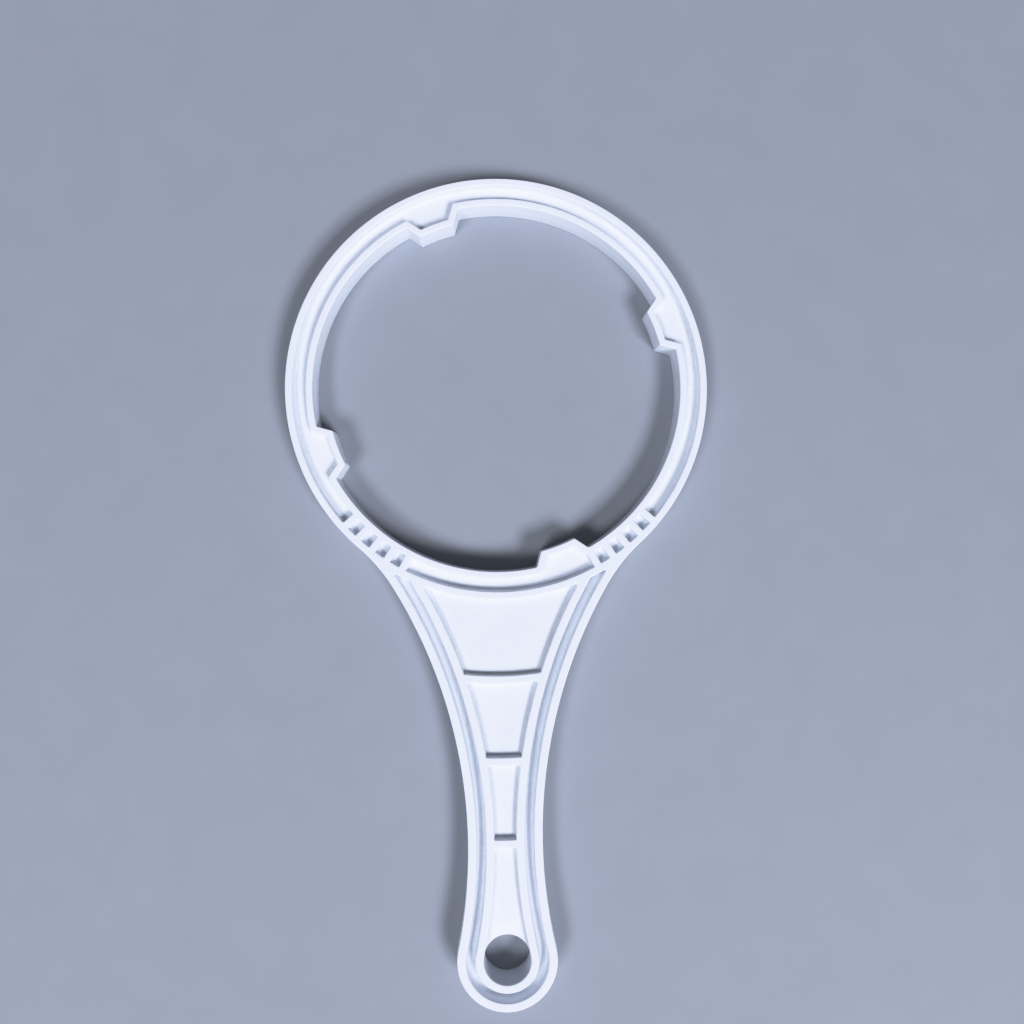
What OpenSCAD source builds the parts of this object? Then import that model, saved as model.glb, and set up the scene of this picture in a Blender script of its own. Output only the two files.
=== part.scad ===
// Filter housing wrench: one moulded plastic piece that lies flat, with a lugged ring, a ribbed handle
// and a hanging hole. The ring's axis is Z, the handle runs along -Y, and the underside is at Z = 0.
// Both faces carry the same grooves and channels, with a thin web between them at half thickness.

/* [Ring] */
// Outside diameter of the ring
ring_outside = 144.4; // [138:0.2:150]
// Inside diameter of the ring, between the lugs
ring_inside = 125.2; // [122:0.2:127]
// Wall outside the ring's groove, which crosses the handle's root as an arched rib
ring_outer_wall = 2.6; // [1.8:0.1:3.2]
// Wall inside the ring's groove, which follows the lugs
ring_inner_wall = 2.5; // [1.8:0.1:3.2]
// Thickness of the wrench, face to face
thickness = 10; // [8:0.25:14]
// Web that is left between the grooves of the two faces
web = 2; // [1.2:0.1:4]

/* [Lugs] */
// Number of lugs round the ring
lug_count = 4; // [2:1:4]
// Angle from the handle to the middle of the first lug
lug_start = 20; // [18:0.25:21]
// Reach of a lug into the ring
lug_reach = 5; // [3:0.1:7]
// Width of a lug at its tip
lug_tip = 12.8; // [10:0.1:15]
// Width of a lug at the ring's inside
lug_root = 20; // [18:0.1:22]
// Rounding of a lug's tip corners
lug_round = 0.9; // [0.4:0.1:1.6]

/* [Groove ribs] */
// Ribs across the groove on each side of the handle
groove_ribs = 5; // [2:1:7]
// Angle from the handle to the middle of the first rib
groove_rib_start = 28.5; // [28:0.25:32]
// Angle between neighbouring ribs
groove_rib_pitch = 5; // [4:0.25:6]
// Wall of a groove rib
groove_rib_wall = 2.5; // [1.6:0.1:3]

/* [Handle] */
// Distance from the ring's centre to the hanging hole's centre
handle_length = 193.25; // [175:0.25:215]
// Width of the handle at its waist
waist = 25.6; // [24:0.2:29]
// Width of the handle where its hollow flanks would meet the ring without a blend
shoulder = 85.5; // [80:0.5:92]
// Radius that blends each flank into the ring
root_radius = 60; // [40:1:80]
// Wall of the rim that follows the handle's outline
rim_wall = 3.1; // [2:0.1:3.4]
// Width of the side channels
side_channel = 3.2; // [2.4:0.1:4]
// Wall of the two beams beside the middle channel, which join as a boss round the hanging hole
beam_wall = 2.8; // [2:0.1:3.4]

/* [Cross ribs] */
// Ribs across the middle channel
cross_ribs = 3; // [1:1:3]
// Distance from the ring to the first rib
cross_rib_start = 25.8; // [22:0.2:28]
// Distance from rib to rib
cross_rib_pitch = 27.5; // [24:0.1:30]
// Wall of a cross rib
cross_rib_wall = 2.8; // [1.8:0.1:3.5]

/* [Hanging hole] */
// Diameter of the hanging hole
hole_diameter = 16; // [14:0.1:18]

/* [Hidden] */
$fn = 180;

plastic = [0.93, 0.95, 0.98];

// Ring radii, from the outside to the lugs' tips
ring_r = ring_outside / 2;
groove_out_r = ring_r - ring_outer_wall;
inside_r = ring_inside / 2;
groove_in_r = inside_r + ring_inner_wall;
lug_tip_r = inside_r - lug_reach;

// Depth of the grooves and channels, and what a cut reaches past a face
groove_depth = (thickness - web) / 2;
past = 1;

// Neighbouring arcs of the handle's outline overlap by this much, so that they cross and don't just touch
arc_overlap = 0.02;

// A lug's straight flank leans outward from its tip: its slope and its unit normal
lug_lean = atan2((lug_root - lug_tip) / 2, lug_reach);
lug_normal = [cos(lug_lean), -sin(lug_lean)];
lug_along = [sin(lug_lean), cos(lug_lean)];

// Handle: insets of its channels from the outline, the first cross rib's near side and the rounded end
beam_inset = rim_wall + side_channel;
middle_inset = beam_inset + beam_wall;
first_rib_r = ring_r + cross_rib_start;
hole_r = hole_diameter / 2;
end_r = hole_r + middle_inset;
end_c = [0, -handle_length];

// Flank arc: it runs through the shoulder, leaves the waist width between the two flanks and touches the
// rounded end. Its diameter u solves sqrt(rise * (u - rise)) + sqrt(swell * (u + spread)) = span, which
// squares out to the quadratic with the three terms below.
touch_r = end_r - arc_overlap;
rise = (shoulder - waist) / 2;
swell = touch_r - waist / 2;
spread = touch_r + waist / 2;
span = handle_length - sqrt(ring_r ^ 2 - (shoulder / 2) ^ 2);
middle = rise ^ 2 + span ^ 2 + swell * spread;
term_2 = (rise - swell) ^ 2;
term_1 = 2 * (rise - swell) * middle + 4 * swell * span ^ 2;
term_0 = middle ^ 2 - 4 * swell * spread * span ^ 2;
flank_radius = term_0 / (term_1 + sqrt(term_1 ^ 2 - 4 * term_2 * term_0));
flank_x = waist / 2 + flank_radius;
flank_c = [flank_x, -handle_length + sqrt((flank_radius + touch_r) ^ 2 - flank_x ^ 2)];

// Root arc: it touches the ring from outside and the flank arc from inside
flank_reach = norm(flank_c);
root_reach = ring_r + root_radius - arc_overlap;
root_to_flank = flank_radius - root_radius + arc_overlap;
root_turn = acos((root_reach ^ 2 + flank_reach ^ 2 - root_to_flank ^ 2) / (2 * root_reach * flank_reach));
root_angle = atan2(flank_c.y, flank_c.x) - root_turn;
root_c = root_reach * [cos(root_angle), sin(root_angle)];

// Point on the handle's axis that is in line with both arcs' centres, where the root arc hands over
handover = [0, root_c.y + root_c.x * (flank_c.y - root_c.y) / (root_c.x - flank_c.x)];

// Mirror image of a point across the handle's axis
function other_side(p) = [-p.x, p.y];

// Draws what it is given for the right side and its mirror image for the left
module both_sides() {
    children();
    mirror([1, 0]) children();
}

// Handle's outline from the ring's centre to the rounded end, with every arc moved inward by an inset
module handle_area(inset = 0) {
    difference() {
        polygon([[0, 0], other_side(root_c), handover, root_c]);
        both_sides() translate(root_c) circle(root_radius + inset);
    }
    difference() {
        polygon([[0, 0], other_side(flank_c), end_c, flank_c]);
        both_sides() translate(flank_c) circle(flank_radius + inset);
    }
    translate(end_c) circle(end_r - inset);
}

// Straight-sided lug pointing along +Y, moved inward by an inset, open at its tip
module lug_wedge(inset = 0) {
    outer_y = groove_in_r + past;
    inner_y = lug_tip_r - past;
    edge = [lug_tip / 2, lug_tip_r] - inset * lug_normal;
    outer_x = edge.x + (outer_y - edge.y) * tan(lug_lean);
    inner_x = edge.x + (inner_y - edge.y) * tan(lug_lean);
    polygon([[inner_x, inner_y], [outer_x, outer_y], [-outer_x, outer_y], [-inner_x, inner_y]]);
}

// Places what it is given, drawn along +Y, at each lug
module at_lugs() {
    for (i = [0 : lug_count - 1]) rotate(180 + lug_start + i * 360 / lug_count) children();
}

// One lug with its tip along the ring's curve and its two tip corners rounded
module lug() {
    edge = [lug_tip / 2, lug_tip_r] - lug_round * lug_normal;
    run = edge * lug_along;
    corner = edge + (sqrt(run ^ 2 - edge * edge + (lug_tip_r + lug_round) ^ 2) - run) * lug_along;
    on_flank = corner + lug_round * lug_normal;
    on_tip = corner * lug_tip_r / (lug_tip_r + lug_round);
    difference() {
        lug_wedge();
        circle(lug_tip_r);
        both_sides() polygon([on_tip, on_flank, on_flank + [lug_tip, 0], [lug_tip, 0], on_tip - [0, lug_reach]]);
    }
    both_sides() translate(corner) circle(lug_round);
}

// Opening of the ring, with the lugs standing into it
module ring_opening() {
    difference() {
        circle(inside_r);
        at_lugs() lug();
    }
}

// Ring's groove with a pocket behind each lug, parted by the ribs beside the handle
module ring_groove() {
    difference() {
        union() {
            difference() {
                circle(groove_out_r);
                circle(groove_in_r);
            }
            at_lugs() difference() {
                lug_wedge(ring_inner_wall);
                circle(lug_tip_r + ring_inner_wall);
            }
        }
        both_sides() for (i = [0 : groove_ribs - 1])
            rotate(groove_rib_start + i * groove_rib_pitch)
                translate([-groove_rib_wall / 2, -ring_r]) square([groove_rib_wall, ring_r - inside_r]);
    }
}

// Side channels, which join as one round the boss of the hanging hole
module side_channels() {
    difference() {
        handle_area(rim_wall);
        handle_area(beam_inset);
        circle(ring_r);
    }
}

// Middle channel, parted by ribs that are concentric with the ring
module middle_channel() {
    difference() {
        handle_area(middle_inset);
        circle(ring_r);
        for (i = [0 : cross_ribs - 1]) difference() {
            circle(first_rib_r + i * cross_rib_pitch + cross_rib_wall);
            circle(first_rib_r + i * cross_rib_pitch);
        }
    }
}

// Every groove and channel of one face
module face_recesses() {
    ring_groove();
    side_channels();
    middle_channel();
}

// The whole wrench
module wrench() {
    color(plastic) difference() {
        linear_extrude(thickness) difference() {
            union() {
                circle(ring_r);
                handle_area();
            }
            ring_opening();
        }
        for (z = [-past, thickness - groove_depth]) translate([0, 0, z])
            linear_extrude(groove_depth + past) face_recesses();
        translate([end_c.x, end_c.y, -past]) cylinder(h = thickness + 2 * past, r = hole_r);
    }
}

wrench();
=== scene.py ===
"""Looks of the filter housing wrench: a white moulded ring and handle that lie flat on a floor.

The wrench is one skin. Every wall is a section carried along a closed path in the plan, with the
draft, edge rounds, floor fillets and parting line of a moulding, and flat areas close the faces
and floors between walls. A place in the plan is a complex number, X plus Y times the imaginary
unit. Sizes are in millimetres in the plan and in metres in the meshes.
"""
from __future__ import annotations

import logging
from cmath import phase
from dataclasses import dataclass
from enum import Enum
from math import acos, atan2, ceil, cos, pi, radians, sin, sqrt, tan
from typing import Any, Sequence, Union

import bmesh
import bpy
import numpy as np
from mathutils import Matrix, Vector
from mathutils.geometry import delaunay_2d_cdt

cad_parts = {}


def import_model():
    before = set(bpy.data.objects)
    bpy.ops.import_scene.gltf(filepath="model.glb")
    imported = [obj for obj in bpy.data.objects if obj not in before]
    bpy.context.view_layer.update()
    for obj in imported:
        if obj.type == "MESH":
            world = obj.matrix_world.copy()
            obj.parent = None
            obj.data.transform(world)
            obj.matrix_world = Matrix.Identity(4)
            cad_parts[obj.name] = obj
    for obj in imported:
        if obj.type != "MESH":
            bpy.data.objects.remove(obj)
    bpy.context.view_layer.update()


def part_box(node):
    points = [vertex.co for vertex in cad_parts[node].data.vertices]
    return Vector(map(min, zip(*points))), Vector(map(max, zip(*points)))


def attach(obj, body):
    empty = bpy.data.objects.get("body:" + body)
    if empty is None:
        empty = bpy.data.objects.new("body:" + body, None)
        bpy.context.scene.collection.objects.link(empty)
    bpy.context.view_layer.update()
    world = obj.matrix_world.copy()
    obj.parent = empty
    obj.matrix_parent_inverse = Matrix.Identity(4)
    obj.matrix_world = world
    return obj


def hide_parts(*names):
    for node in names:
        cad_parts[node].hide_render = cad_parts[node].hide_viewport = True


LOG = logging.getLogger("wrench")
IMAGE_SIDE = 1024
MM = 0.001

# Greatest distance between points of a path, of the keyhole's path and of the rest of the hanging
# hole's circle, and greatest angle between points of an arc
PATH_STEP = 1.2
KEYHOLE_STEP = 0.8
HOLE_STEP = 0.5
ARC_STEP = radians(12)

# Distances in the plan below which a point lies on a line or circle
TINY = 1e-9
TOUCH = 1e-6

# Angles of the rows over an edge round or a floor fillet
QUARTER = np.linspace(0, pi / 2, 6)

# Marks of a section's rows. Rim marks show wear, over an edge round and along the parting line;
# nook marks carry painted shade and a duller finish, over a floor fillet. A round and a fillet
# each have a guard's row as well.
ROUND_RIM = (0.0, 0.2, 1.0, 1.0, 1.0, 1.0, 0.4)
SEAM_RIM = (0.0, 0.0, 0.5, 0.5)
FLOOR_NOOK = (0.2, 0.6, 1.0, 1.0, 1.0, 0.8, 0.5)

Colour = tuple[float, float, float, float]
Triple = tuple[float, float, float]


class Turn(Enum):
    """Sense in which an arc is walked, seen from above, or side of a rib, seen along it."""

    LEFT = 1
    RIGHT = -1


def ray(angle: float) -> complex:
    """Unit step in the plan at an angle in degrees from +X."""
    return complex(cos(radians(angle)), sin(radians(angle)))


def unit(step: complex) -> complex:
    """Step in the plan shortened or stretched to a length of 1."""
    return step / abs(step)


def across(point: complex) -> complex:
    """Mirror image of a point across the handle's axis."""
    return -point.conjugate()


@dataclass(frozen=True)
class Straight:
    """Endless straight edge through a point, with its heading as a unit step."""

    point: complex
    heading: complex

    def shifted(self, left: float) -> Straight:
        """Parallel edge that lies this far to the left."""
        return Straight(self.point + 1j * self.heading * left, self.heading)

    def foot(self, point: complex) -> complex:
        """Place on the edge that is nearest to a point."""
        return self.point + self.heading * ((point - self.point) / self.heading).real

    def heading_at(self, point: complex) -> complex:
        """Unit heading of the edge, which is the same at every point on it."""
        return self.heading

    def sampled(self, start: complex, stop: complex, step: float) -> tuple[np.ndarray, np.ndarray]:
        """Even points from one place to another on the edge.

        Args:
            start: First point.
            stop: Place where the points end, which isn't one of them.
            step: Greatest distance between points.

        Returns:
            Points and their unit headings.
        """
        count = max(2, ceil(abs(stop - start) / step))
        points = start + (stop - start) * np.arange(count) / count
        return points, np.full(count, self.heading)


@dataclass(frozen=True)
class Arc:
    """Full circle that is walked to the left or to the right."""

    centre: complex
    radius: float
    turn: Turn

    def shifted(self, left: float) -> Arc:
        """Circle with the same centre that lies this far to the left."""
        return Arc(self.centre, self.radius - self.turn.value * left, self.turn)

    def foot(self, point: complex) -> complex:
        """Place on the circle that is nearest to a point."""
        return self.centre + self.radius * unit(point - self.centre)

    def heading_at(self, point: complex) -> complex:
        """Unit heading of the circle at a point on it."""
        return 1j * self.turn.value * unit(point - self.centre)

    def sampled(self, start: complex, stop: complex, step: float) -> tuple[np.ndarray, np.ndarray]:
        """Even points from one place to another on the circle.

        Args:
            start: First point.
            stop: Place where the points end, which isn't one of them.
            step: Greatest distance between points, which a tight arc's greatest angle may cut.

        Returns:
            Points and their unit headings.
        """
        sense = self.turn.value
        sweep = (sense * phase((stop - self.centre) / (start - self.centre))) % (2 * pi)
        count = max(2, ceil(sweep * self.radius / step), ceil(sweep / ARC_STEP))
        spokes = (start - self.centre) * np.exp(1j * sense * sweep * np.arange(count) / count)
        return self.centre + spokes, 1j * sense * spokes / self.radius


Edge = Union[Straight, Arc]


def meet(a: Edge, b: Edge, near: complex) -> complex:
    """Crossing of two edges.

    Args:
        a: First edge.
        b: Second edge.
        near: Rough place, which picks one of two crossings.

    Returns:
        The crossing that is nearest to the rough place.
    """
    if isinstance(a, Straight) and isinstance(b, Straight):
        gap = (b.point - a.point).conjugate() * b.heading
        return a.point + a.heading * gap.imag / (a.heading.conjugate() * b.heading).imag
    if isinstance(a, Straight):
        a, b = b, a
    if isinstance(b, Straight):
        base = b.foot(a.centre)
        reach = b.heading * sqrt(max(a.radius ** 2 - abs(base - a.centre) ** 2, 0.0))
    else:
        span = abs(b.centre - a.centre)
        along = (a.radius ** 2 - b.radius ** 2 + span ** 2) / (2 * span)
        base = a.centre + along * unit(b.centre - a.centre)
        reach = 1j * unit(b.centre - a.centre) * sqrt(max(a.radius ** 2 - along ** 2, 0.0))
    return min((base + reach, base - reach), key=lambda place: abs(place - near))


@dataclass(frozen=True)
class Leg:
    """Edge of a closed path, the corner where it starts, and that corner's rounding.

    With no rounding the edge and the one before it touch in the corner, which is then exact.
    """

    edge: Edge
    corner: complex
    rounding: float = 0.0


@dataclass(frozen=True)
class Loop:
    """Closed path with the void on its left: its points, and unit normals into the material."""

    points: np.ndarray
    normals: np.ndarray

    def mirrored(self) -> Loop:
        """Same path on the other side of the handle's axis, still with the void on its left."""
        return Loop(-np.conj(self.points)[::-1], -np.conj(self.normals)[::-1])

    def room(self) -> np.ndarray:
        """Radius of the largest disc in the void that touches the path at each point.

        A disc that touches at one point and passes through another has the squared distance
        between them over twice its part along the inward normal as its radius; the smallest such
        disc counts.

        Returns:
            One radius for each point of the path.
        """
        gap = self.points[None, :] - self.points[:, None]
        inward = -(gap * np.conj(self.normals)[:, None]).real
        radius = np.where(inward > TINY, np.abs(gap) ** 2 / np.maximum(2 * inward, TINY), np.inf)
        return np.min(radius, axis=1)


def trace(legs: Sequence[Leg], step: float = PATH_STEP) -> Loop:
    """Walks the legs of a closed path and rounds its corners.

    A rounding's centre is the crossing of the two edges moved by its radius to the side of the
    turn.

    Args:
        legs: Edges in order, with the void on the left.
        step: Greatest distance between points.

    Returns:
        The sampled path.
    """
    bends = []
    for before, leg in zip([legs[-1], *legs[:-1]], legs):
        if leg.rounding == 0:
            bends.append((leg.corner, None, leg.corner))
            continue
        corner = meet(before.edge, leg.edge, leg.corner)
        swing = (before.edge.heading_at(corner).conjugate() * leg.edge.heading_at(corner)).imag
        turn = Turn.LEFT if swing > 0 else Turn.RIGHT
        shift = turn.value * leg.rounding
        centre = meet(before.edge.shifted(shift), leg.edge.shifted(shift), corner)
        rounding = Arc(centre, leg.rounding, turn)
        bends.append((before.edge.foot(centre), rounding, leg.edge.foot(centre)))
    parts = []
    for leg, bend, following in zip(legs, bends, [*bends[1:], bends[0]]):
        enter, rounding, leave = bend
        if rounding is not None:
            parts.append(rounding.sampled(enter, leave, step))
        parts.append(leg.edge.sampled(leave, following[0], step))
    headings = np.concatenate([part[1] for part in parts])
    return Loop(np.concatenate([part[0] for part in parts]), -1j * headings)


@dataclass(frozen=True)
class RingPlan:
    """Plan of the ring: its opening with the lugs, and the grooves of one face.

    Lugs and groove ribs are counted from the handle, and their starts and pitch are angles.
    """

    outer_r: float = 72.2
    inside_r: float = 62.6
    outer_wall: float = 2.6
    inner_wall: float = 2.5
    lug_count: int = 4
    lug_start: float = 20.0
    lug_reach: float = 5.0
    lug_tip: float = 12.8
    lug_root: float = 20.0
    lug_round: float = 0.9  # rounding of a lug's tip corners
    lug_foot: float = 0.6  # rounding where a lug leaves the ring's inside
    rib_count: int = 5
    rib_start: float = 28.5
    rib_pitch: float = 5.0
    rib_wall: float = 2.5
    corner: float = 0.4  # rounding of the corners in the groove
    shoulder: float = 0.7  # rounding where a lug's pocket leaves the groove

    @property
    def groove_out_r(self) -> float:
        """Radius of the groove's outer wall."""
        return self.outer_r - self.outer_wall

    @property
    def groove_in_r(self) -> float:
        """Radius of the groove's inner wall."""
        return self.inside_r + self.inner_wall

    @property
    def tip_r(self) -> float:
        """Radius of the lugs' tips."""
        return self.inside_r - self.lug_reach

    @property
    def lean(self) -> complex:
        """Unit step outward along the right flank of a lug that points along +Y."""
        return unit(complex((self.lug_root - self.lug_tip) / 2, self.lug_reach))

    def lug_place(self, index: int) -> complex:
        """Turn that takes a lug from +Y to its place."""
        return ray(180 + self.lug_start + index * 360 / self.lug_count)

    def rib_ray(self, index: int) -> complex:
        """Unit step from the ring's centre along a groove rib on the right."""
        return ray(self.rib_start + index * self.rib_pitch - 90)

    def rib_offset(self, spoke: complex, side: Turn) -> complex:
        """Step from the middle of the groove rib along a spoke to one of its sides."""
        return side.value * 1j * spoke * self.rib_wall / 2

    def opening(self) -> Loop:
        """Traces the opening of the ring, to the left round the lugs.

        Returns:
            The opening's path.
        """
        tip = complex(self.lug_tip / 2, self.tip_r)
        root = complex(self.lug_root / 2, sqrt(self.inside_r ** 2 - (self.lug_root / 2) ** 2))
        legs = []
        for index in range(self.lug_count):
            place = self.lug_place(index)
            right = Straight(tip * place, -self.lean * place)
            left = Straight(across(tip) * place, across(self.lean) * place)
            legs += [
                Leg(right, root * place, self.lug_foot),
                Leg(Arc(0, self.tip_r, Turn.LEFT), tip * place, self.lug_round),
                Leg(left, across(tip) * place, self.lug_round),
                Leg(Arc(0, self.inside_r, Turn.LEFT), across(root) * place, self.lug_foot),
            ]
        return trace(legs)

    def lug_pocket(self, index: int) -> list[Leg]:
        """Lists the legs of the pocket behind a lug and of the groove's inner wall after it.

        Args:
            index: Number of the lug.

        Returns:
            The legs, walked to the right.
        """
        place = self.lug_place(index)
        edge = complex(self.lug_tip / 2, self.tip_r) + 1j * self.lean * self.inner_wall
        mouth = edge + self.lean * (self.groove_in_r - edge.imag)
        left = Straight(across(edge) * place, -across(self.lean) * place)
        back = Arc(0, self.tip_r + self.inner_wall, Turn.RIGHT)
        return [
            Leg(left, across(mouth) * place, self.shoulder),
            Leg(back, across(edge) * place, self.corner),
            Leg(Straight(edge * place, self.lean * place), edge * place, self.corner),
            Leg(Arc(0, self.groove_in_r, Turn.RIGHT), mouth * place, self.shoulder),
        ]

    def rib_side(self, spoke: complex, side: Turn, outward: bool) -> Leg:
        """Side of a groove rib.

        Args:
            spoke: Unit step along the rib.
            side: Side of the rib, seen outward along it.
            outward: Whether the side is walked outward.

        Returns:
            The leg, which starts where it leaves one of the groove's walls.
        """
        offset = self.rib_offset(spoke, side)
        start = spoke * (self.groove_in_r if outward else self.groove_out_r)
        return Leg(Straight(offset, spoke if outward else -spoke), start + offset, self.corner)

    def groove_wall(self, spoke: complex, side: Turn, outer: bool) -> Leg:
        """Wall of the groove from a rib onward.

        Args:
            spoke: Unit step along the rib.
            side: Side of the rib that the wall leaves, seen outward along it.
            outer: Whether it is the outer wall, walked to the left; the inner one is walked to
                the right.

        Returns:
            The leg, which starts at the rib's side.
        """
        radius = self.groove_out_r if outer else self.groove_in_r
        start = spoke * radius + self.rib_offset(spoke, side)
        return Leg(Arc(0, radius, Turn.LEFT if outer else Turn.RIGHT), start, self.corner)

    def long_groove(self) -> Loop:
        """Traces the groove round the far side of the ring.

        Returns:
            Its path, from the last rib on the right to the last on the left and back.
        """
        right = self.rib_ray(self.rib_count - 1)
        left = across(right)
        lugs = range(self.lug_count - 1, 0, -1)
        return trace([
            self.groove_wall(right, Turn.LEFT, True),
            self.rib_side(left, Turn.RIGHT, False),
            self.groove_wall(left, Turn.RIGHT, False),
            *(leg for index in lugs for leg in self.lug_pocket(index)),
            self.rib_side(right, Turn.LEFT, True),
        ])

    def root_groove(self) -> Loop:
        """Traces the groove across the handle's root.

        Returns:
            Its path; the first lug's pocket runs into the first rib's side.
        """
        right = self.rib_ray(0)
        left = across(right)
        return trace([
            self.groove_wall(left, Turn.LEFT, True),
            self.rib_side(right, Turn.RIGHT, False),
            *self.lug_pocket(0),
            self.rib_side(left, Turn.LEFT, True),
        ])

    def cells(self) -> list[Loop]:
        """Traces the small cells between the groove ribs.

        Returns:
            The cells' paths on the right, and then on the left.
        """
        loops = []
        for index in range(self.rib_count - 1):
            low, high = self.rib_ray(index), self.rib_ray(index + 1)
            loops.append(trace([
                self.groove_wall(low, Turn.LEFT, True),
                self.rib_side(high, Turn.RIGHT, False),
                self.groove_wall(high, Turn.RIGHT, False),
                self.rib_side(low, Turn.LEFT, True),
            ]))
        return loops + [loop.mirrored() for loop in loops]


@dataclass(frozen=True)
class HandlePlan:
    """Plan of the handle: the wrench's outline, the side channel, the panels and the keyhole."""

    ring: RingPlan
    length: float = 193.25
    waist: float = 25.6
    shoulder: float = 85.5  # width where the flanks would meet the ring without a blend
    root_r: float = 60.0  # radius of that blend
    rim_wall: float = 3.1
    side_channel: float = 3.2
    beam_wall: float = 2.8
    hole_r: float = 8.0
    cross_ribs: int = 3
    rib_start: float = 25.8
    rib_pitch: float = 27.5
    rib_wall: float = 2.8
    corner: float = 0.4  # rounding of the corners of the panels and of the channel's beams
    tip_corner: float = 0.25  # rounding of the channel's two outer tips

    @property
    def beam_inset(self) -> float:
        """Inset of the side channel's inner wall from the outline."""
        return self.rim_wall + self.side_channel

    @property
    def middle_inset(self) -> float:
        """Inset of the middle panels from the outline."""
        return self.beam_inset + self.beam_wall

    @property
    def end_r(self) -> float:
        """Radius of the rounded end."""
        return self.hole_r + self.middle_inset

    @property
    def end_c(self) -> complex:
        """Centre of the rounded end and of the hanging hole."""
        return complex(0, -self.length)

    @property
    def flank_r(self) -> float:
        """Radius of a hollow flank, which runs from the shoulder past the waist to the end.

        The run along the handle from the shoulder to the waist and from there to the touch with
        the end are square roots in the flank's diameter that add up to the span. Squared out,
        that is a quadratic with the three terms below.

        Returns:
            Half of the quadratic's smaller root.
        """
        rise = (self.shoulder - self.waist) / 2
        swell = self.end_r - self.waist / 2
        spread = self.end_r + self.waist / 2
        span = self.length - sqrt(self.ring.outer_r ** 2 - (self.shoulder / 2) ** 2)
        middle = rise ** 2 + span ** 2 + swell * spread
        term_2 = (rise - swell) ** 2
        term_1 = 2 * (rise - swell) * middle + 4 * swell * span ** 2
        term_0 = middle ** 2 - 4 * swell * spread * span ** 2
        return term_0 / (term_1 + sqrt(term_1 ** 2 - 4 * term_2 * term_0))

    @property
    def flank_c(self) -> complex:
        """Centre of the right flank."""
        out = self.waist / 2 + self.flank_r
        return complex(out, -self.length + sqrt((self.flank_r + self.end_r) ** 2 - out ** 2))

    @property
    def root_c(self) -> complex:
        """Centre of the arc that blends the right flank into the ring.

        It is the corner of a triangle with the ring's and the flank's centres, whose three sides
        are known because the arc touches both.

        Returns:
            The centre.
        """
        reach, far = self.ring.outer_r + self.root_r, abs(self.flank_c)
        between = self.flank_r - self.root_r
        turn = acos((reach ** 2 + far ** 2 - between ** 2) / (2 * reach * far))
        angle = atan2(self.flank_c.imag, self.flank_c.real) - turn
        return reach * complex(cos(angle), sin(angle))

    def root(self, inset: float, turn: Turn, left: bool = False) -> Arc:
        """Root arc moved inward by an inset, on the right or on the left."""
        return Arc(across(self.root_c) if left else self.root_c, self.root_r + inset, turn)

    def flank(self, inset: float, turn: Turn, left: bool = False) -> Arc:
        """Flank arc moved inward by an inset, on the right or on the left."""
        return Arc(across(self.flank_c) if left else self.flank_c, self.flank_r + inset, turn)

    def end(self, inset: float, turn: Turn) -> Arc:
        """Rounded end moved inward by an inset."""
        return Arc(self.end_c, self.end_r - inset, turn)

    def handover(self, inset: float) -> complex:
        """Point on the right where the inset root arc touches the inset flank arc."""
        return self.flank_c + (self.flank_r + inset) * unit(self.root_c - self.flank_c)

    def landing(self, inset: float) -> complex:
        """Point on the right where the inset flank arc touches the inset rounded end."""
        return self.end_c + (self.end_r - inset) * unit(self.flank_c - self.end_c)

    def outline(self) -> Loop:
        """Traces the outline of the whole wrench.

        Returns:
            Its path, walked to the right so that the void is outside.
        """
        ring = self.ring.outer_r * unit(self.root_c)
        return trace([
            Leg(self.root(0, Turn.LEFT), ring),
            Leg(self.flank(0, Turn.LEFT), self.handover(0)),
            Leg(self.end(0, Turn.RIGHT), self.landing(0)),
            Leg(self.flank(0, Turn.LEFT, True), across(self.landing(0))),
            Leg(self.root(0, Turn.LEFT, True), across(self.handover(0))),
            Leg(Arc(0, self.ring.outer_r, Turn.RIGHT), across(ring)),
        ])

    def channel(self) -> Loop:
        """Traces the side channel of both sides.

        Returns:
            Its path; the two sides join round the boss of the hanging hole.
        """
        half = self.shoulder / 2
        near = complex(half, -sqrt(self.ring.outer_r ** 2 - half ** 2))
        rim, beam = self.rim_wall, self.beam_inset
        top = Arc(0, self.ring.outer_r, Turn.RIGHT)
        return trace([
            Leg(self.end(rim, Turn.LEFT), across(self.landing(rim))),
            Leg(self.flank(rim, Turn.RIGHT), self.landing(rim)),
            Leg(self.root(rim, Turn.RIGHT), self.handover(rim)),
            Leg(top, near - rim, self.tip_corner),
            Leg(self.flank(beam, Turn.LEFT), near - beam, self.corner),
            Leg(self.end(beam, Turn.RIGHT), self.landing(beam)),
            Leg(self.flank(beam, Turn.LEFT, True), across(self.landing(beam))),
            Leg(top, across(near - beam), self.corner),
            Leg(self.root(rim, Turn.RIGHT, True), across(near - rim), self.tip_corner),
            Leg(self.flank(rim, Turn.RIGHT, True), across(self.handover(rim))),
        ])

    def rib_r(self, index: int, far: bool) -> float:
        """Radius of one side of a cross rib, which is concentric with the ring.

        Args:
            index: Number of the rib; 0 is the ring's own outer wall.
            far: Whether it is the side toward the handle's end.

        Returns:
            The radius.
        """
        if index == 0:
            return self.ring.outer_r
        first = self.ring.outer_r + self.rib_start
        return first + (index - 1) * self.rib_pitch + (self.rib_wall if far else 0)

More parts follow.
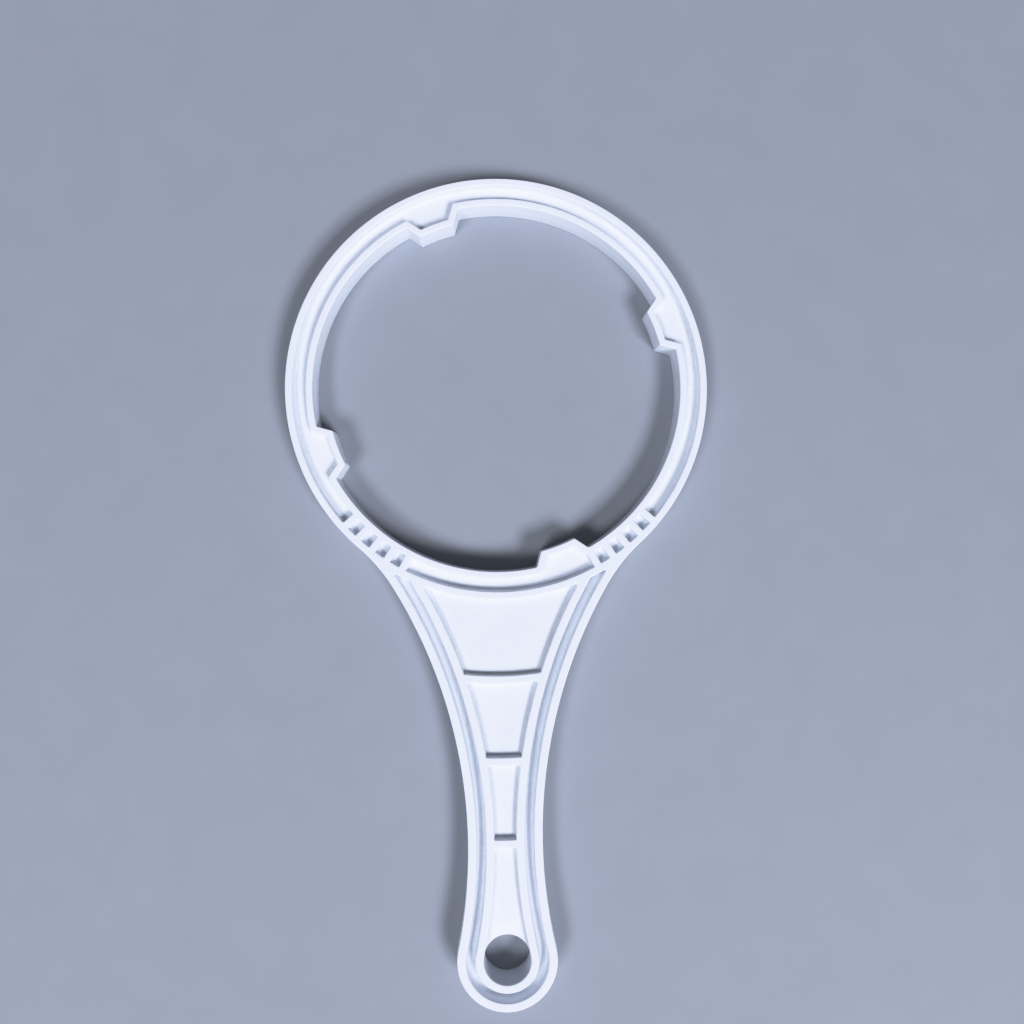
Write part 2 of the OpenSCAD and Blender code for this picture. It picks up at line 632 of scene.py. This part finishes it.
    def panels(self) -> list[Loop]:
        """Traces the middle panels between the ring and the last cross rib.

        Returns:
            The panels' paths, from the ring on.
        """
        loops = []
        for index in range(self.cross_ribs):
            near, far = self.rib_r(index, True), self.rib_r(index + 1, False)
            low, high = complex(self.waist / 2, -far), complex(self.waist / 2, -near)
            loops.append(trace([
                Leg(Arc(0, far, Turn.LEFT), across(low), self.corner),
                Leg(self.flank(self.middle_inset, Turn.RIGHT), low, self.corner),
                Leg(Arc(0, near, Turn.RIGHT), high, self.corner),
                Leg(self.flank(self.middle_inset, Turn.RIGHT, True), across(high), self.corner),
            ]))
        return loops

    def keyhole(self) -> Loop:
        """Traces the last middle panel, which runs into the hanging hole.

        Returns:
            Its path, which starts with the hole's arc.
        """
        near = self.rib_r(self.cross_ribs, True)
        high = complex(self.waist / 2, -near)
        landing = self.landing(self.middle_inset)
        return trace([
            Leg(self.end(self.middle_inset, Turn.LEFT), across(landing)),
            Leg(self.flank(self.middle_inset, Turn.RIGHT), landing),
            Leg(Arc(0, near, Turn.RIGHT), high, self.corner),
            Leg(self.flank(self.middle_inset, Turn.RIGHT, True), across(high), self.corner),
        ], KEYHOLE_STEP)


@dataclass(frozen=True)
class Section:
    """Section of a wall, from a face down: steps into the material, heights, and its marks."""

    steps: np.ndarray
    heights: np.ndarray
    rim: np.ndarray
    nook: np.ndarray


class Shell:
    """Half of a closed surface, from the upper face to half thickness; its mirror image closes it.

    ROOM is the share of the void's largest disc that a step may take. Points of a flat area that
    are nearer than PLAN_GAP millimetres count as one, points of the mesh nearer than WELD metres
    are merged, and edges shorter than SLIVER metres are dissolved.
    """

    ROOM = 0.92
    PLAN_GAP = 1e-7
    WELD = 2e-7
    SLIVER = 1e-7

    def __init__(self, thickness: float) -> None:
        """Starts an empty shell.

        Args:
            thickness: Distance between the two faces, in millimetres.
        """
        self.thickness = thickness
        self.points = np.empty((0, 3))
        self.marks = np.empty((0, 2))
        self.quads: list[np.ndarray] = []
        self.triangles: list[np.ndarray] = []

    def add(self, points: np.ndarray, marks: np.ndarray) -> np.ndarray:
        """Adds points.

        Args:
            points: A row or grid of points.
            marks: Their rim and nook marks, in the same order.

        Returns:
            Numbers of the points, in the same row or grid.
        """
        first = len(self.points)
        self.points = np.concatenate([self.points, points.reshape(-1, 3)])
        self.marks = np.concatenate([self.marks, marks.reshape(-1, 2)])
        return np.arange(first, len(self.points)).reshape(points.shape[:-1])

    def carry(self, loop: Loop, section: Section) -> np.ndarray:
        """Carries a section along a path and joins the rows with quads.

        A point is the path's point plus the section's step along the path's normal, at the
        section's height. Steps into the void stay inside the largest disc that fits there, so
        walls never cross.

        Args:
            loop: Path of the wall.
            section: Section, with one row for all points or rows of its own for each.

        Returns:
            Numbers of the grid's points, one row for each point of the path.
        """
        shape = (len(loop.points), section.steps.shape[-1])
        least = -self.ROOM * loop.room()[:, None]
        steps = np.maximum(np.broadcast_to(section.steps, shape), least)
        plan = loop.points[:, None] + steps * loop.normals[:, None]
        heights = np.broadcast_to(section.heights, shape)
        marks = [np.broadcast_to(mark, shape) for mark in (section.rim, section.nook)]
        points = np.stack([plan.real, plan.imag, heights], axis=-1)
        numbers = self.add(points, np.stack(marks, axis=-1))
        self.band(numbers)
        return numbers

    def band(self, numbers: np.ndarray) -> None:
        """Joins the rows of a grid with quads.

        Args:
            numbers: Numbers of the grid's points, closed along the first axis.
        """
        ahead = np.roll(numbers, -1, axis=0)
        corners = (numbers[:, :-1], ahead[:, :-1], ahead[:, 1:], numbers[:, 1:])
        self.quads.append(np.stack(corners, axis=-1).reshape(-1, 4))

    def area(self, *rings: np.ndarray) -> None:
        """Fills the flat area between closed rings of points with triangles that face up.

        A triangle stays if an odd number of rings goes round its middle, which is counted by the
        edges that a line from the middle along +X crosses.

        Args:
            rings: Numbers of each ring's points, in order; rings inside others are holes.
        """
        numbers = np.concatenate(rings)
        ends = np.cumsum([len(ring) for ring in rings])
        places = [np.arange(end - len(ring), end) for ring, end in zip(rings, ends)]
        edges = np.concatenate([np.stack([row, np.roll(row, -1)], axis=1) for row in places])
        plan = self.points[numbers, :2]
        _, _, faces, origins, _, _ = delaunay_2d_cdt(
            plan.tolist(), edges.tolist(), [], 0, self.PLAN_GAP)
        source = np.array([origin[0] for origin in origins])
        triangles = source[np.array(faces)]
        a, b, c = (plan[triangles[:, corner]] for corner in range(3))
        (bx, by), (cx, cy) = (b - a).T, (c - a).T
        turned = bx * cy < by * cx
        triangles[turned] = triangles[turned][:, ::-1]
        x, y = ((a + b + c) / 3).T[:, :, None]
        (x0, y0), (x1, y1) = plan[edges[:, 0]].T, plan[edges[:, 1]].T
        level = (y0 > y) != (y1 > y)
        ahead = x < x0 + (y - y0) * (x1 - x0) / np.where(y1 == y0, 1.0, y1 - y0)
        inside = np.count_nonzero(level & ahead, axis=1) % 2 == 1
        self.triangles.append(numbers[triangles[inside]])

    def mesh(self, name: str) -> bpy.types.Mesh:
        """Closes the shell with its mirror image at half thickness and makes the mesh.

        Args:
            name: Name of the mesh.

        Returns:
            The mesh in metres, with its rim and nook marks as attributes.
        """
        count = len(self.points)
        under = self.points * [1, 1, -1] + [0, 0, self.thickness]
        points = np.concatenate([self.points, under]) * MM
        faces: list[list[int]] = []
        for group in self.quads + self.triangles:
            faces += group.tolist() + (group[:, ::-1] + count).tolist()
        mesh = bpy.data.meshes.new(name)
        mesh.from_pydata(points, [], faces)
        for column, mark in enumerate(("rim", "nook")):
            values = np.tile(self.marks[:, column], 2).astype(np.float32)
            mesh.attributes.new(mark, "FLOAT", "POINT").data.foreach_set("value", values)
        work = bmesh.new()
        work.from_mesh(mesh)
        bmesh.ops.remove_doubles(work, verts=work.verts, dist=self.WELD)
        bmesh.ops.dissolve_degenerate(work, edges=work.edges, dist=self.SLIVER)
        loose = sum(not edge.is_manifold for edge in work.edges)
        LOG.info("%s: %d faces, %d open edges", name, len(work.faces), loose)
        work.to_mesh(mesh)
        work.free()
        mesh.shade_smooth()
        return mesh


@dataclass
class Wrench:
    """The moulded wrench: ring, handle, and the mould's draft, rounds, fillets and parting line.

    A guard is a flat strip beside a round or fillet, which keeps its shading off the flat area.
    The flash is the thin fin along the parting line, at half thickness.
    """

    ring: RingPlan
    handle: HandlePlan
    thickness: float
    channel_web: float = 2.0
    groove_web: float = 4.2
    panel_web: float = 5.4
    edge_round: float = 0.4
    floor_fillet: float = 0.8
    end_fillet: float = 1.25  # floor fillet of the side channel at the handle's end
    end_from: float = -105.0  # Y where the side channel's floor fillet starts to grow
    end_run: float = 45.0  # length over which it grows
    guard: float = 0.1
    wall_draft: float = 4.5  # degrees, in the grooves and channels
    rim_draft: float = 0.8  # degrees, on the outline and the opening
    clear: float = 0.04  # gap that keeps the skin inside the solid
    flash: float = 0.06
    flash_half: float = 0.2
    seam_rise: tuple[float, ...] = (2.5, 1.0, 0.5, 0.0)  # rows above the seam, in flash halves
    seam_back: tuple[float, ...] = (1.1, 1.0, 0.35, 0.0)  # their steps back, in flashes
    fillet_share: float = 0.33  # share of the gap to the hole that the keyhole's fillet takes
    guard_share: float = 0.1  # share of it that the keyhole's guard takes
    bore_top: float = 0.03  # step of the hanging hole's wall inward, down to the first seam row
    bore_draft: float = 0.035  # and down to the flash

    def floor(self, web: float) -> float:
        """Height of the upper side of a web of the given thickness at half thickness."""
        return (self.thickness + web) / 2

    def brow(self, inset: float) -> tuple[np.ndarray, np.ndarray]:
        """Rows from the face over the edge round: a quarter circle after a flat guard.

        Args:
            inset: Step into the material where the wall starts below the round.

        Returns:
            Steps and heights.
        """
        steps = inset + self.edge_round * (1 - np.sin(QUARTER))
        heights = self.thickness - self.edge_round * (1 - np.cos(QUARTER))
        return np.r_[steps[0] + self.guard, steps], np.r_[self.thickness, heights]

    def seam_heights(self) -> np.ndarray:
        """Heights of the rows over the flash, down to half thickness."""
        return self.thickness / 2 + self.flash_half * np.array(self.seam_rise)

    def outer_section(self) -> Section:
        """Section of the outline and the opening: edge round, drafted wall and flash.

        Returns:
            The section, with one row for all points.
        """
        lean = tan(radians(self.rim_draft)) * (self.thickness / 2 - self.edge_round)
        steps, heights = self.brow(self.clear + self.flash + lean)
        steps = np.r_[steps, self.clear + self.flash * np.array(self.seam_back)]
        heights = np.r_[heights, self.seam_heights()]
        return Section(steps, heights, np.r_[ROUND_RIM, SEAM_RIM], np.zeros(len(steps)))

    def pocket_section(self, web: float, fillet: np.ndarray, guard: np.ndarray) -> Section:
        """Section of a groove or channel: edge round, drafted wall, floor fillet and a guard.

        Args:
            web: Thickness of the web below it.
            fillet: Radius of the floor fillet, as a column with a row for each point of the path.
            guard: Width of the flat guard on the floor, in the same form.

        Returns:
            The section, with a row for each point of the path.
        """
        steps, heights = self.brow(0.0)
        floor = self.floor(web)
        drop = self.thickness - self.edge_round - floor - fillet
        hollow = -tan(radians(self.wall_draft)) * drop - fillet * (1 - np.cos(QUARTER))
        rows = np.ones_like(fillet)
        steps = np.concatenate([rows * steps, hollow, hollow[:, -1:] - guard], axis=1)
        bend = floor + fillet * (1 - np.sin(QUARTER))
        heights = np.concatenate([rows * heights, bend, rows * floor], axis=1)
        rim = np.r_[ROUND_RIM, np.zeros(len(FLOOR_NOOK))]
        nook = np.r_[np.zeros(len(ROUND_RIM)), FLOOR_NOOK]
        return Section(steps, heights, rim, nook)

    def channel_fillet(self, loop: Loop) -> np.ndarray:
        """Side channel's floor fillet, as a column; it grows evenly toward the handle's end."""
        toward_end = np.clip((self.end_from - loop.points.imag) / self.end_run, 0, 1)
        return (self.floor_fillet + (self.end_fillet - self.floor_fillet) * toward_end)[:, None]

    def pocket(
        self, shell: Shell, loop: Loop, web: float, fillet: float | np.ndarray,
    ) -> np.ndarray:
        """Makes one groove or channel with its floor.

        Args:
            shell: Mesh that takes it.
            loop: Its edge on the face.
            web: Thickness of the web below it.
            fillet: Radius of the floor fillet, one for all or a column with a row for each point.

        Returns:
            The ring of points on the face.
        """
        column = np.ones((len(loop.points), 1))
        section = self.pocket_section(web, fillet * column, self.guard * column)
        numbers = shell.carry(loop, section)
        shell.area(numbers[:, -1])
        return numbers[:, 0]

    def keyhole(self, shell: Shell) -> np.ndarray:
        """Makes the last panel and the hanging hole.

        The floor fillet dies out where the panel's sides touch the hole, because the gap between
        them, the distance from the hole's centre less its radius, closes there. The hole's wall
        then goes on through the web to half thickness.

        Args:
            shell: Mesh that takes them.

        Returns:
            The ring of points on the face.
        """
        loop, centre = self.handle.keyhole(), self.handle.end_c
        gap = np.abs(loop.points - centre) - self.handle.hole_r
        on_hole = gap < TOUCH
        gap = np.where(on_hole, 0.0, gap)[:, None]
        fillet = np.minimum(self.floor_fillet, self.fillet_share * gap)
        guard = np.minimum(self.guard, self.guard_share * gap)
        numbers = shell.carry(loop, self.pocket_section(self.panel_web, fillet, guard))
        foot = numbers[:, -1]
        lower, sides = foot[on_hole], np.r_[foot[on_hole][-1], foot[~on_hole], foot[0]]
        first, last = (complex(*shell.points[k, :2]) - centre for k in (lower[-1], lower[0]))
        sweep = phase(last / first) % (2 * pi)
        count = ceil(abs(first) * sweep / HOLE_STEP)
        plan = centre + first * np.exp(1j * sweep * np.arange(1, count) / count)
        level = np.full(len(plan), self.floor(self.panel_web))
        points = np.stack([plan.real, plan.imag, level], axis=-1)
        upper = shell.add(points, np.zeros((len(plan), 2)))
        shell.area(np.r_[sides, upper[::-1]])
        self.bore(shell, np.r_[lower, upper])
        return numbers[:, 0]

    def bore(self, shell: Shell, circle: np.ndarray) -> None:
        """Carries the hanging hole's circle through the web to the flash at half thickness.

        A point is the circle's point moved toward the hole's centre by the row's step, at the
        row's height.

        Args:
            shell: Mesh that takes it.
            circle: Numbers of the circle's points.
        """
        top = shell.points[circle]
        spoke = top[:, :2] - [self.handle.end_c.real, self.handle.end_c.imag]
        spoke = spoke / np.linalg.norm(spoke, axis=1, keepdims=True)
        fin = self.bore_draft + self.flash * (1 - np.array(self.seam_back[1:]))
        steps = -np.r_[self.bore_top, fin]
        plan = top[:, None, :2] + steps[None, :, None] * spoke[:, None, :]
        level = np.broadcast_to(self.seam_heights(), plan.shape[:2])[..., None]
        points = np.concatenate([plan, level], axis=-1)
        rows = shell.add(points, np.zeros((*plan.shape[:2], 2)))
        shell.band(np.concatenate([circle[:, None], rows], axis=1))

    def build(self) -> bpy.types.Object:
        """Makes the wrench's skin as one closed mesh.

        Returns:
            The skin.
        """
        shell = Shell(self.thickness)
        walls, fillet = self.outer_section(), self.floor_fillet
        loops = (self.handle.outline(), self.ring.opening())
        rings = [shell.carry(loop, walls)[:, 0] for loop in loops]
        grooves = [self.ring.long_groove(), self.ring.root_groove(), *self.ring.cells()]
        rings += [self.pocket(shell, loop, self.groove_web, fillet) for loop in grooves]
        panels = self.handle.panels()
        rings += [self.pocket(shell, loop, self.panel_web, fillet) for loop in panels]
        channel = self.handle.channel()
        rings.append(self.pocket(shell, channel, self.channel_web, self.channel_fillet(channel)))
        rings.append(self.keyhole(shell))
        shell.area(*rings)
        skin = bpy.data.objects.new("wrench_skin", shell.mesh("wrench_skin"))
        bpy.context.scene.collection.objects.link(skin)
        return skin


class Value:
    """Socket of a shader node that takes part in Python expressions; each adds a Math node."""

    def __init__(self, nodes: Nodes, socket: bpy.types.NodeSocket) -> None:
        """Wraps an output socket of a node tree."""
        self.nodes = nodes
        self.socket = socket

    def _math(self, operation: str, *terms: Any) -> Value:
        """Adds a Math node for an operation on terms."""
        return self.nodes.add("ShaderNodeMath", {"operation": operation}, dict(enumerate(terms)))

    def __add__(self, other: Any) -> Value:
        """Sum."""
        return self._math("ADD", self, other)

    def __radd__(self, other: Any) -> Value:
        """Sum with the value on the right."""
        return self._math("ADD", other, self)

    def __sub__(self, other: Any) -> Value:
        """Difference."""
        return self._math("SUBTRACT", self, other)

    def __rsub__(self, other: Any) -> Value:
        """Difference with the value on the right."""
        return self._math("SUBTRACT", other, self)

    def __mul__(self, other: Any) -> Value:
        """Product."""
        return self._math("MULTIPLY", self, other)

    def __rmul__(self, other: Any) -> Value:
        """Product with the value on the right."""
        return self._math("MULTIPLY", other, self)


class Nodes:
    """Node tree of a new material, with one method that adds any node."""

    def __init__(self, name: str) -> None:
        """Makes a material with an empty node tree.

        Args:
            name: Name of the material.
        """
        self.material = bpy.data.materials.new(name)
        self.material.use_nodes = True
        self.tree = self.material.node_tree
        self.tree.nodes.clear()

    def add(
        self, kind: str, settings: dict[str, Any], inputs: dict[Any, Any], output: Any = 0,
    ) -> Value:
        """Adds a node.

        Args:
            kind: Type of the node.
            settings: Its settings, such as a Math node's operation, which are set first.
            inputs: Values or links of its sockets, by name or number.
            output: Name or number of the output to return.

        Returns:
            The wrapped output.
        """
        node = self.tree.nodes.new(kind)
        for key, value in settings.items():
            setattr(node, key, value)
        for key, value in inputs.items():
            if isinstance(value, Value):
                self.tree.links.new(value.socket, node.inputs[key])
            else:
                node.inputs[key].default_value = value
        return Value(self, node.outputs[output] if node.outputs else None)

    def mark(self, name: str) -> Value:
        """Mark that the mesh carries under a name."""
        return self.add("ShaderNodeAttribute", {"attribute_name": name}, {}, "Fac")

    def noise(self, place: Value, scale: float, detail: float = 3.0) -> Value:
        """Noise at a scale given in waves per metre."""
        inputs = {"Vector": place, "Scale": scale, "Detail": detail}
        return self.add("ShaderNodeTexNoise", {}, inputs)

    def span(self, value: Value, low: float, high: float, bottom: float, top: float) -> Value:
        """Value carried smoothly from one range to another and held at its ends."""
        return self.add("ShaderNodeMapRange", {"interpolation_type": "SMOOTHSTEP"}, {
            "Value": value, "From Min": low, "From Max": high, "To Min": bottom, "To Max": top,
        })

    def tint(self, factor: Value, a: Any, b: Any) -> Value:
        """Colour mixed from one to another; a Mix node has its colours at 6 and 7, and out at 2."""
        return self.add("ShaderNodeMix", {"data_type": "RGBA"}, {0: factor, 6: a, 7: b}, 2)

    def bump(self, height: Value, strength: float, depth: float) -> Value:
        """Normal over a height of the given depth in metres."""
        inputs = {"Strength": strength, "Distance": depth, "Height": height}
        return self.add("ShaderNodeBump", {}, inputs)


@dataclass(frozen=True)
class WhitePlastic:
    """Satin white polypropylene: fine mould grain, faint clouding, specks, wear and painted shade
    in the nooks.

    Scales are in waves per metre; depths are in metres.
    """

    white: Colour = (0.80, 0.825, 0.865, 1.0)
    cloud: Colour = (0.775, 0.80, 0.845, 1.0)
    # painted shade: grey mixed into the floor fillets, where shade falls in the hollows
    nook_shade_grey: Colour = (0.50, 0.51, 0.53, 1.0)
    speck: Colour = (0.22, 0.21, 0.20, 1.0)
    drift_scale: float = 55.0
    flow_scale: Triple = (260.0, 26.0, 60.0)
    pore_scale: float = 700.0
    grain_scale: float = 2600.0
    grain_depth: float = 0.0001
    grain_strength: float = 0.12
    speck_scale: float = 95.0
    speck_patches: float = 40.0  # scale of the few patches that have specks
    satin: tuple[float, float] = (0.46, 0.58)  # roughness, from the least to the most
    rim_polish: float = 0.08
    nook_dullness: float = 0.06
    bending: float = 1.49  # index of refraction
    gloss: float = 0.35
    milkiness: float = 0.3  # share of the light that spreads inside
    milk_shade: Triple = (1.0, 0.97, 0.94)
    milk_depth: float = 0.001

    def material(self) -> bpy.types.Material:
        """Makes the finish.

        Clouds tint the white, painted shade darkens the nooks and specks lie in patches; pores and
        drift vary the roughness, which is lower on worn rims, and pores and grain make the bump.

        Returns:
            The material.
        """
        nodes = Nodes("white_plastic")
        place = nodes.add("ShaderNodeTexCoord", {}, {}, "Object")
        stretched = nodes.add(
            "ShaderNodeMapping", {}, {"Vector": place, "Scale": self.flow_scale})
        rim, nook = nodes.mark("rim"), nodes.mark("nook")
        drift = nodes.noise(place, self.drift_scale, 4.0)
        flow = nodes.noise(stretched, 1.0)
        grain = nodes.noise(place, self.grain_scale, 2.0)
        pores = nodes.noise(place, self.pore_scale)
        clouds = nodes.span(drift + 0.5 * flow, 0.55, 0.95, 0.0, 1.0)
        shade = nodes.tint(clouds, self.white, self.cloud)
        # painted shade: the nooks' grey, mottled by pores and drift, stands in for shade in the
        # fillets
        painted_nook_shade = nook * nodes.span(pores + drift, 0.8, 1.3, 0.02, 0.22)
        shade = nodes.tint(painted_nook_shade, shade, self.nook_shade_grey)
        from_dots = nodes.add(
            "ShaderNodeTexVoronoi", {}, {"Vector": place, "Scale": self.speck_scale}, "Distance")
        dots = nodes.span(from_dots, 0.02, 0.035, 1.0, 0.0)
        patches = nodes.span(nodes.noise(place, self.speck_patches, 1.0), 0.62, 0.66, 0.0, 0.55)
        shade = nodes.tint(dots * patches, shade, self.speck)
        rough = nodes.span(pores + 0.6 * drift, 0.5, 1.1, *self.satin)
        height = 0.35 * grain + 0.65 * pores
        surface = nodes.add("ShaderNodeBsdfPrincipled", {}, {
            "Base Color": shade,
            "Roughness": rough - self.rim_polish * rim + self.nook_dullness * nook,
            "Normal": nodes.bump(height, self.grain_strength, self.grain_depth),
            "IOR": self.bending,
            "Specular IOR Level": self.gloss,
            "Subsurface Weight": self.milkiness,
            "Subsurface Radius": self.milk_shade,
            "Subsurface Scale": self.milk_depth,
        })
        nodes.add("ShaderNodeOutputMaterial", {}, {"Surface": surface})
        return nodes.material


@dataclass(frozen=True)
class FloorPaint:
    """Plain matt pale grey of the floor, with a faint clouding."""

    light: Colour = (0.34, 0.355, 0.385, 1.0)
    dark: Colour = (0.315, 0.33, 0.355, 1.0)
    cloud_scale: float = 60.0
    grain_scale: float = 900.0
    grain_depth: float = 0.0002
    grain_strength: float = 0.1
    roughness: float = 0.7

    def material(self) -> bpy.types.Material:
        """Makes the finish.

        Returns:
            The material.
        """
        nodes = Nodes("floor_grey")
        place = nodes.add("ShaderNodeTexCoord", {}, {}, "Object")
        clouds = nodes.noise(place, self.cloud_scale, 5.0)
        grain = nodes.noise(place, self.grain_scale)
        surface = nodes.add("ShaderNodeBsdfPrincipled", {}, {
            "Base Color": nodes.tint(clouds, self.light, self.dark),
            "Roughness": self.roughness,
            "Normal": nodes.bump(grain, self.grain_strength, self.grain_depth),
        })
        nodes.add("ShaderNodeOutputMaterial", {}, {"Surface": surface})
        return nodes.material


@dataclass(frozen=True)
class Lamp:
    """Soft oblong lamp: its name, its place and sides in metres, and its power in watts."""

    name: str
    place: Triple
    sides: tuple[float, float]
    power: float


@dataclass(frozen=True)
class Studio:
    """Floor, soft lights and the camera, which looks almost straight down.

    The camera's place is in millimetres and its tilt in degrees: pitch, roll and spin. The tone
    curves are points of light and tone, where a light of 1 is a plain white; soft_white holds for
    all colours and cool_white for blue, before it.
    """

    camera_place: Triple = (-2.10, -49.0, 273.95)
    camera_tilt: Triple = (1.402, -1.356, -1.024)
    focal_pixels: float = 777.14
    nearest: float = 0.01  # metres from the camera where the view starts
    light_shade: Triple = (0.95, 1.0, 1.16)
    lamps: tuple[Lamp, ...] = (
        Lamp("right_lamp", (3.7, -4.4, 5.9), (3.0, 2.5), 620.0),
        Lamp("left_lamp", (-3.7, -3.9, 6.7), (3.0, 2.5), 395.0),
    )
    lamp_aim: Triple = (0.0, -0.06, 0.0)
    room_light: float = 0.13
    brightest: float = 1.8
    soft_white: tuple[tuple[float, float], ...] = (
        (0.1, 0.08), (0.25, 0.2), (0.45, 0.39), (0.6, 0.56), (0.7, 0.67),
        (0.85, 0.785), (1.0, 0.86), (1.2, 0.92), (1.5, 0.97),
    )
    cool_white: tuple[tuple[float, float], ...] = (
        (0.45, 0.45), (0.8, 0.81), (1.15, 1.38), (1.45, 1.6),
    )
    floor_side: float = 24.0
    floor_drop: float = 1e-5  # metres that the floor lies below the wrench

    def floor(self) -> None:
        """Makes the floor just below the wrench."""
        half, level = self.floor_side / 2, -self.floor_drop
        mesh = bpy.data.meshes.new("floor")
        corners = [(-half, -half, level), (half, -half, level), (half, half, level),
                   (-half, half, level)]
        mesh.from_pydata(corners, [], [(0, 1, 2, 3)])
        mesh.materials.append(FloorPaint().material())
        floor = bpy.data.objects.new("floor", mesh)
        bpy.context.scene.collection.objects.link(floor)

    def hang(self, lamp: Lamp) -> None:
        """Adds a lamp that faces the wrench.

        Args:
            lamp: The lamp.
        """
        light = bpy.data.lights.new(lamp.name, "AREA")
        light.shape, light.energy, light.color = "RECTANGLE", lamp.power, self.light_shade
        light.size, light.size_y = lamp.sides
        holder = bpy.data.objects.new(lamp.name, light)
        holder.location = lamp.place
        beam = Vector(self.lamp_aim) - Vector(lamp.place)
        holder.rotation_euler = beam.to_track_quat("-Z", "Y").to_euler()
        bpy.context.scene.collection.objects.link(holder)

    def lights(self) -> None:
        """Adds the lamps and the even light from all round."""
        for lamp in self.lamps:
            self.hang(lamp)
        world = bpy.data.worlds.new("soft_room")
        world.use_nodes = True
        background = world.node_tree.nodes["Background"]
        background.inputs["Color"].default_value = (*self.light_shade, 1.0)
        background.inputs["Strength"].default_value = self.room_light
        bpy.context.scene.world = world

    def tones(self) -> None:
        """Sets the tones, which dip in the greys and bend softly into a slightly blue white."""
        view = bpy.context.scene.view_settings
        view.view_transform, view.look, view.exposure = "Standard", "None", 0.0
        view.use_curve_mapping = True
        mapping = view.curve_mapping
        mapping.white_level = (self.brightest,) * 3
        _, _, blue, combined = mapping.curves
        for light, tone in self.soft_white:
            combined.points.new(light / self.brightest, tone)
        for light, tone in self.cool_white:
            blue.points.new(light / self.brightest, tone / self.brightest)
        mapping.update()

    def camera(self) -> None:
        """Adds the camera at the photograph's place, with its focal length in pixels."""
        data = bpy.data.cameras.new("camera")
        data.sensor_fit = "HORIZONTAL"
        data.lens = self.focal_pixels / IMAGE_SIDE * data.sensor_width
        data.clip_start = self.nearest
        camera = bpy.data.objects.new("camera", data)
        pitch, roll, spin = (radians(angle) for angle in self.camera_tilt)
        tilt = Matrix.Rotation(pitch, 4, "X") @ Matrix.Rotation(roll, 4, "Y")
        place = Matrix.Translation(Vector(self.camera_place) * MM)
        camera.matrix_world = place @ (Matrix.Rotation(spin, 4, "Z") @ tilt)
        bpy.context.scene.collection.objects.link(camera)
        bpy.context.scene.camera = camera

    def build(self) -> None:
        """Makes the whole studio."""
        self.floor()
        self.lights()
        self.tones()
        self.camera()


def main() -> None:
    """Builds the wrench and the studio."""
    logging.basicConfig(level=logging.INFO, format="%(name)s: %(message)s")
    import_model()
    low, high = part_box("wrench")
    ring = RingPlan()
    wrench = Wrench(ring, HandlePlan(ring), (high[2] - low[2]) / MM)
    skin = wrench.build()
    skin.data.materials.append(WhitePlastic().material())
    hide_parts("wrench")
    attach(skin, "root")
    LOG.info("skin of the wrench: %d points", len(skin.data.vertices))
    Studio().build()
    bpy.context.view_layer.update()


if __name__ == "__main__":
    main()
